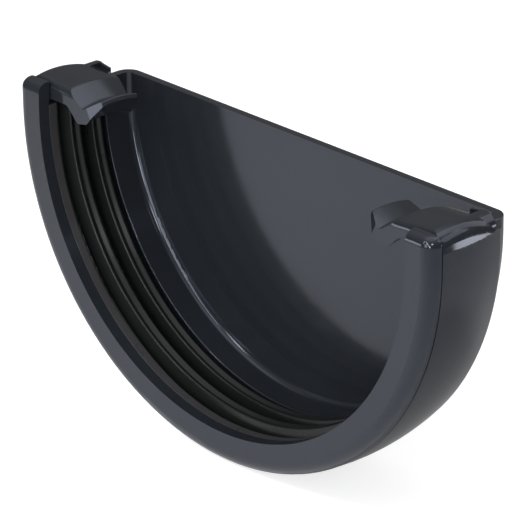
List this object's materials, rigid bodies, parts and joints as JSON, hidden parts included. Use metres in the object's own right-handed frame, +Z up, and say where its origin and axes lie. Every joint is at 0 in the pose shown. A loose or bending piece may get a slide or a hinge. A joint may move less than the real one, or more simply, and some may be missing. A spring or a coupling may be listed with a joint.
{
  "type": "gutter end cap",
  "caption": "Half-round gutter end cap with a flat end plate, a rounded front rim, snap clips over the gutter's edges and a lipped rubber seal inside.",
  "frame": {"origin": "centre of the half-round, in the plane of the open mouth's front face", "axes": "+Y runs along the gutter from the open mouth to the end plate, +X to the right as seen from the mouth, +Z up"},
  "size_m": [0.1292, 0.0281, 0.0719],
  "materials": {
    "dark_plastic": "smooth moulded, half gloss",
    "seal_rubber": "matt black"
  },
  "bodies": {
    "root": {"cap_body": "dark_plastic", "gutter_seal": "seal_rubber"}
  },
  "joints": []
}
